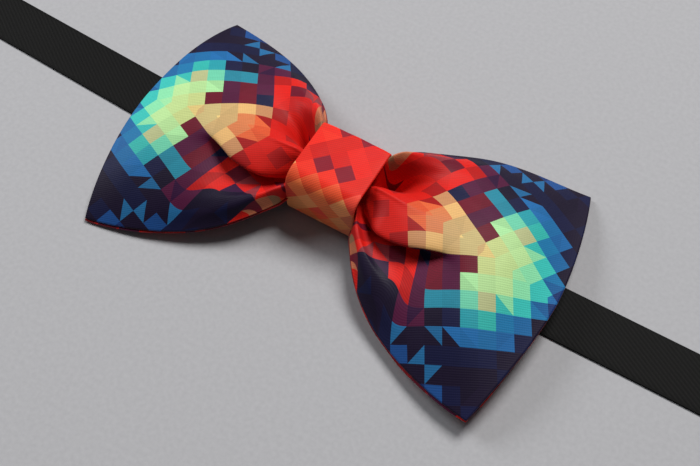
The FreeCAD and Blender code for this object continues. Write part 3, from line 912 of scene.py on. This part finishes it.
def rounded_path(corners, spacing=0.5):
    """Points along a path of (x, z, corner radius) in the side view."""
    points = [np.array(corners[0][:2], float)]
    for before, here, after in zip(corners, corners[1:], corners[2:]):
        corner = np.array(here[:2], float)
        into = corner - np.array(before[:2], float)
        out = np.array(after[:2], float) - corner
        into /= np.linalg.norm(into)
        out /= np.linalg.norm(out)
        turn = math.atan2(into[0] * out[1] - into[1] * out[0], into @ out)
        tangent = here[2] * math.tan(abs(turn) / 2)
        side = math.copysign(1, turn)
        centre = corner - into * tangent + side * here[2] * np.array([-into[1], into[0]])
        start = corner - into * tangent - centre
        steps = max(2, int(abs(turn) / math.radians(9)))
        for k in range(steps + 1):
            angle = turn * k / steps
            cos, sin = math.cos(angle), math.sin(angle)
            spoke = np.array([start[0] * cos - start[1] * sin, start[0] * sin + start[1] * cos])
            points.append(centre + spoke)
    points.append(np.array(corners[-1][:2], float))
    filled = [points[0]]
    for point in points[1:]:
        gap = np.linalg.norm(point - filled[-1])
        if gap < 1e-6:
            continue
        pieces = max(1, int(gap / spacing))
        start = filled[-1]
        filled += [start + (point - start) * k / pieces for k in range(1, pieces + 1)]
    return np.array(filled)


def ribbon_mesh(name, path, material, plan=None):
    """A woven ribbon along a side-view path: thin selvedges, a slightly fuller middle."""
    edge = np.array([0.88, 0.9, 0.95, 0.985, 1.0])
    across = np.concatenate([-edge[::-1], np.linspace(-0.8, 0.8, 13), edge])
    full = np.interp(np.abs(across), [0, 0.86, 0.9, 0.985, 1.0], [0.5, 0.5, 0.42, 0.38, 0.12]) * RIBBON
    ahead = np.gradient(path, axis=0)
    ahead /= np.linalg.norm(ahead, axis=1, keepdims=True)
    normal = np.stack([-ahead[:, 1], ahead[:, 0]], axis=1)
    run = np.concatenate([[0], np.cumsum(np.linalg.norm(np.diff(path, axis=0), axis=1))])
    loop = [(w, f) for w, f in zip(across, full)] + [(w, -f) for w, f in zip(across[::-1], full[::-1])]
    points = []
    uv = []
    for k in range(len(path)):
        for w, f in loop:
            x, z = path[k] + normal[k] * f
            y = w * RIBBON_HALF
            x, y = plan(x, y) if plan else (x, y)
            points.append((x, y, z))
            uv.append((path[k][0] if plan is None else -run[k], w * RIBBON_HALF))
    count = len(loop)
    faces = []
    for i in range(len(path) - 1):
        for j in range(count):
            a = i * count + j
            b = i * count + (j + 1) % count
            faces.append((a, b, b + count, a + count))
    faces.append(tuple(reversed(range(count))))
    last = (len(path) - 1) * count
    faces.append(tuple(last + j for j in range(count)))
    ribbon = build_mesh(name, points, faces, uv, material)
    ribbon.data.set_sharp_from_angle(angle=math.radians(50))
    return ribbon


def strap_plan(x, y):
    """The left half of the strap lies at a slight angle to the right half."""
    if x < -60.0:
        return (x * math.cos(KINK) + y * math.sin(KINK), -x * math.sin(KINK) + y * math.cos(KINK))
    middle = math.tan(KINK) * (math.hypot(x, 4.0) - x) / 2
    slope = math.tan(KINK) * (x / math.hypot(x, 4.0) - 1) / 2
    return (x - slope * y, middle + y)


def neck_path():
    """From the slide along the table, up through the knot, back down and round the eye's bar."""
    xs = np.arange(NECK_START, NECK_END - 0.01, -0.8)
    lift = KNOT_LIFT * (1 - ease(36.0, 58.0, np.abs(xs)))
    lift += KNOT_EXTRA_LIFT * (1 - ease(25.0, 36.0, np.abs(xs)))
    run = np.stack([xs, lift + RIBBON / 2], axis=1)
    fold = rounded_path([
        (xs[-1] - 0.4, FIRST, 0), (EYE_BAR - BAR_TURN, BAR_HEIGHT - BAR_TURN, BAR_TURN),
        (EYE_BAR - BAR_TURN, BAR_HEIGHT + BAR_TURN, BAR_TURN),
        (EYE_BAR + 2.5, BAR_HEIGHT + BAR_TURN, 4.0), (EYE_BAR + 6.5, SECOND, 4.0),
        (EYE_BAR + 14.0, SECOND, 0)])
    return np.vstack([run, fold])


def make_ribbons(material):
    neck = ribbon_mesh("neck_ribbon", neck_path(), material, strap_plan)
    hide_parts("neck_strap")
    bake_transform(neck)

    crest = SLIDE_HEIGHT + BAR_TURN + GAP + RIBBON
    over = ribbon_mesh("ribbon_over_slide", rounded_path([
        (NECK_START, FIRST, 0), (SLIDE_BAR - 4.7, FIRST, 1.6), (SLIDE_BAR - 1.3, crest, 1.2),
        (SLIDE_BAR + 1.5, crest, 1.4), (SLIDE_BAR + 4.9, THIRD, 1.8), (SEWN_END, THIRD, 0)]), material)
    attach(over, "slider")
    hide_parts("strap_bridge")

    loop = ribbon_mesh("ribbon_end_loop", rounded_path([
        (SEWN_END, FIRST, 0), (SLIDE_BAR + 4.0, FIRST, 3.0),
        (SLIDE_BAR + 1.2, SLIDE_HEIGHT - BAR_TURN, 2.0),
        (SLIDE_BAR - BAR_TURN, SLIDE_HEIGHT - BAR_TURN, BAR_TURN),
        (SLIDE_BAR - BAR_TURN, SLIDE_HEIGHT + BAR_TURN, BAR_TURN),
        (SLIDE_BAR + 1.0, SLIDE_HEIGHT + BAR_TURN, 1.0), (SLIDE_BAR + 4.3, SECOND, 1.8),
        (SEWN_END, SECOND, 0)]), material)
    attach(loop, "slider")
    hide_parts("slider_end_loop")

    upper = ribbon_mesh("ribbon_upper_leg", rounded_path([
        (SEWN_END, THIRD, 0), (SEWN_END + 6.0, THIRD, 60.0),
        (FOLD_START - 6.0, BAR_HEIGHT + BAR_TURN, 60.0),
        (FOLD_START, BAR_HEIGHT + BAR_TURN, 0)]), material)
    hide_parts("strap_upper_leg")
    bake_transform(upper)

    under = ribbon_mesh("ribbon_return_leg", rounded_path([
        (SEWN_END, FIRST, 0), (FOLD_START, FIRST, 0)]), material)
    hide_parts("strap_return_leg")
    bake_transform(under)

    fold = ribbon_mesh("ribbon_hook_fold", rounded_path([
        (FOLD_START, BAR_HEIGHT + BAR_TURN, 0), (HOOK_BAR + BAR_TURN, BAR_HEIGHT + BAR_TURN, BAR_TURN),
        (HOOK_BAR + BAR_TURN, BAR_HEIGHT - BAR_TURN, BAR_TURN), (FOLD_START, BAR_HEIGHT - BAR_TURN, 0)]),
        material)
    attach(fold, "hook_fold")
    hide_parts("strap_fold")


# ---------------------------------------------------------------- thread
STITCH_LENGTH = 1.3
STITCHES_IN_ROW = 6


def thread_curve(name, lines, radius, material):
    """Round threads along lists of points in millimetres."""
    curve = bpy.data.curves.new(name, "CURVE")
    curve.dimensions = "3D"
    curve.bevel_depth = radius * MM
    curve.bevel_resolution = 3
    curve.use_fill_caps = True
    for line in lines:
        spline = curve.splines.new("POLY")
        spline.points.add(len(line) - 1)
        for point, place in zip(spline.points, line):
            point.co = (*(Vector(place) * MM), 1.0)
        spline.use_smooth = True
    curve.materials.append(material)
    thing = bpy.data.objects.new(name, curve)
    bpy.context.scene.collection.objects.link(thing)
    return thing


def stitch_lines(rows, z, plan=None):
    """Stitches across the ribbon: each rises from the cloth, lies on it and dips back in."""
    lines = []
    for x in rows:
        for y in np.linspace(-5.6, 5.6, STITCHES_IN_ROW):
            line = []
            for t in np.linspace(-1, 1, 9):
                place = (x + 0.12 * t, y + t * STITCH_LENGTH / 2)
                place = plan(*place) if plan else place
                line.append((*place, z + 0.12 - 0.22 * t ** 4))
            lines.append(line)
    return lines


def make_threads(dark, red):
    eye_rows = (EYE_BAR + 12.4, EYE_BAR + 10.4)
    eye = thread_curve("eye_stitching", stitch_lines(eye_rows, SECOND + 0.3, strap_plan), 0.15, dark)
    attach(eye, "strap")
    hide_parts("eye_end_stitches")
    slider_rows = (SEWN_END - 1.8, SEWN_END - 3.8)
    slider = thread_curve("slider_stitching", stitch_lines(slider_rows, SECOND + 0.24), 0.13, dark)
    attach(slider, "slider")
    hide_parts("slider_end_stitches")
    seam = []
    along = np.linspace(-1, 1, 7)
    for x in np.linspace(-7.8, 7.8, 9):
        seam.append([(x + 0.35 * t, SEAM_Y + 0.85 * t, 0.18 + 0.12 * t * t) for t in along])
    back = thread_curve("knot_seam_stitching", seam, 0.14, red)
    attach(back, "bow")
    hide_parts("knot_stitches")
    steps = 60
    turns = 8
    outline, _ = rounded_outline(WAIST_LOW_Y, WAIST_HIGH_Y, WAIST_LOW, WAIST_TOP, WAIST_RADII, steps + 1)
    winding = []
    for k in range(turns):
        for i, (y, z) in enumerate(outline[:-1]):
            share = (k + i / steps) / turns
            x = -WINDING_HALF + 2 * WINDING_HALF * share
            winding.append((x + 0.15 * math.sin(9 * share), y, z))
    wound = thread_curve("gathering_winding", [winding], 0.2, dark)
    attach(wound, "bow")
    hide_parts("gather_thread")


# ---------------------------------------------------------------- everything in order
def dress(node, material):
    """Gives a CAD part that stays in view its material."""
    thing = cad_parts[node]
    thing.data.materials.clear()
    thing.data.materials.append(material)


def make_floor():
    mesh = bpy.data.meshes.new("floor")
    half = FLOOR_HALF_SIDE
    mesh.from_pydata([(-half, -half, 0), (half, -half, 0), (half, half, 0), (-half, half, 0)], [],
                     [(0, 1, 2, 3)])
    mesh.materials.append(table_top())
    floor = bpy.data.objects.new("floor", mesh)
    floor.location.z = -FLOOR_DROP
    bpy.context.scene.collection.objects.link(floor)


place_camera()
light_the_scene()
make_floor()

lining = felted("pressed_lining", (0.45, 0.44, 0.40, 1), (0.66, 0.65, 0.60, 1))
metal = nickel()
dark = thread("dark_thread", (0.008, 0.008, 0.012, 1), (0.035, 0.035, 0.045, 1))
red = thread("red_thread", (0.20, 0.01, 0.01, 1), (0.42, 0.03, 0.025, 1))
make_bow(bow_print(), back_print(), lining)
make_knot(knot_print(), lining)
make_ribbons(black_ribbon())
make_threads(dark, red)
for fitting in ("adjuster_slide", "collar_hook", "collar_eye"):
    dress(fitting, metal)
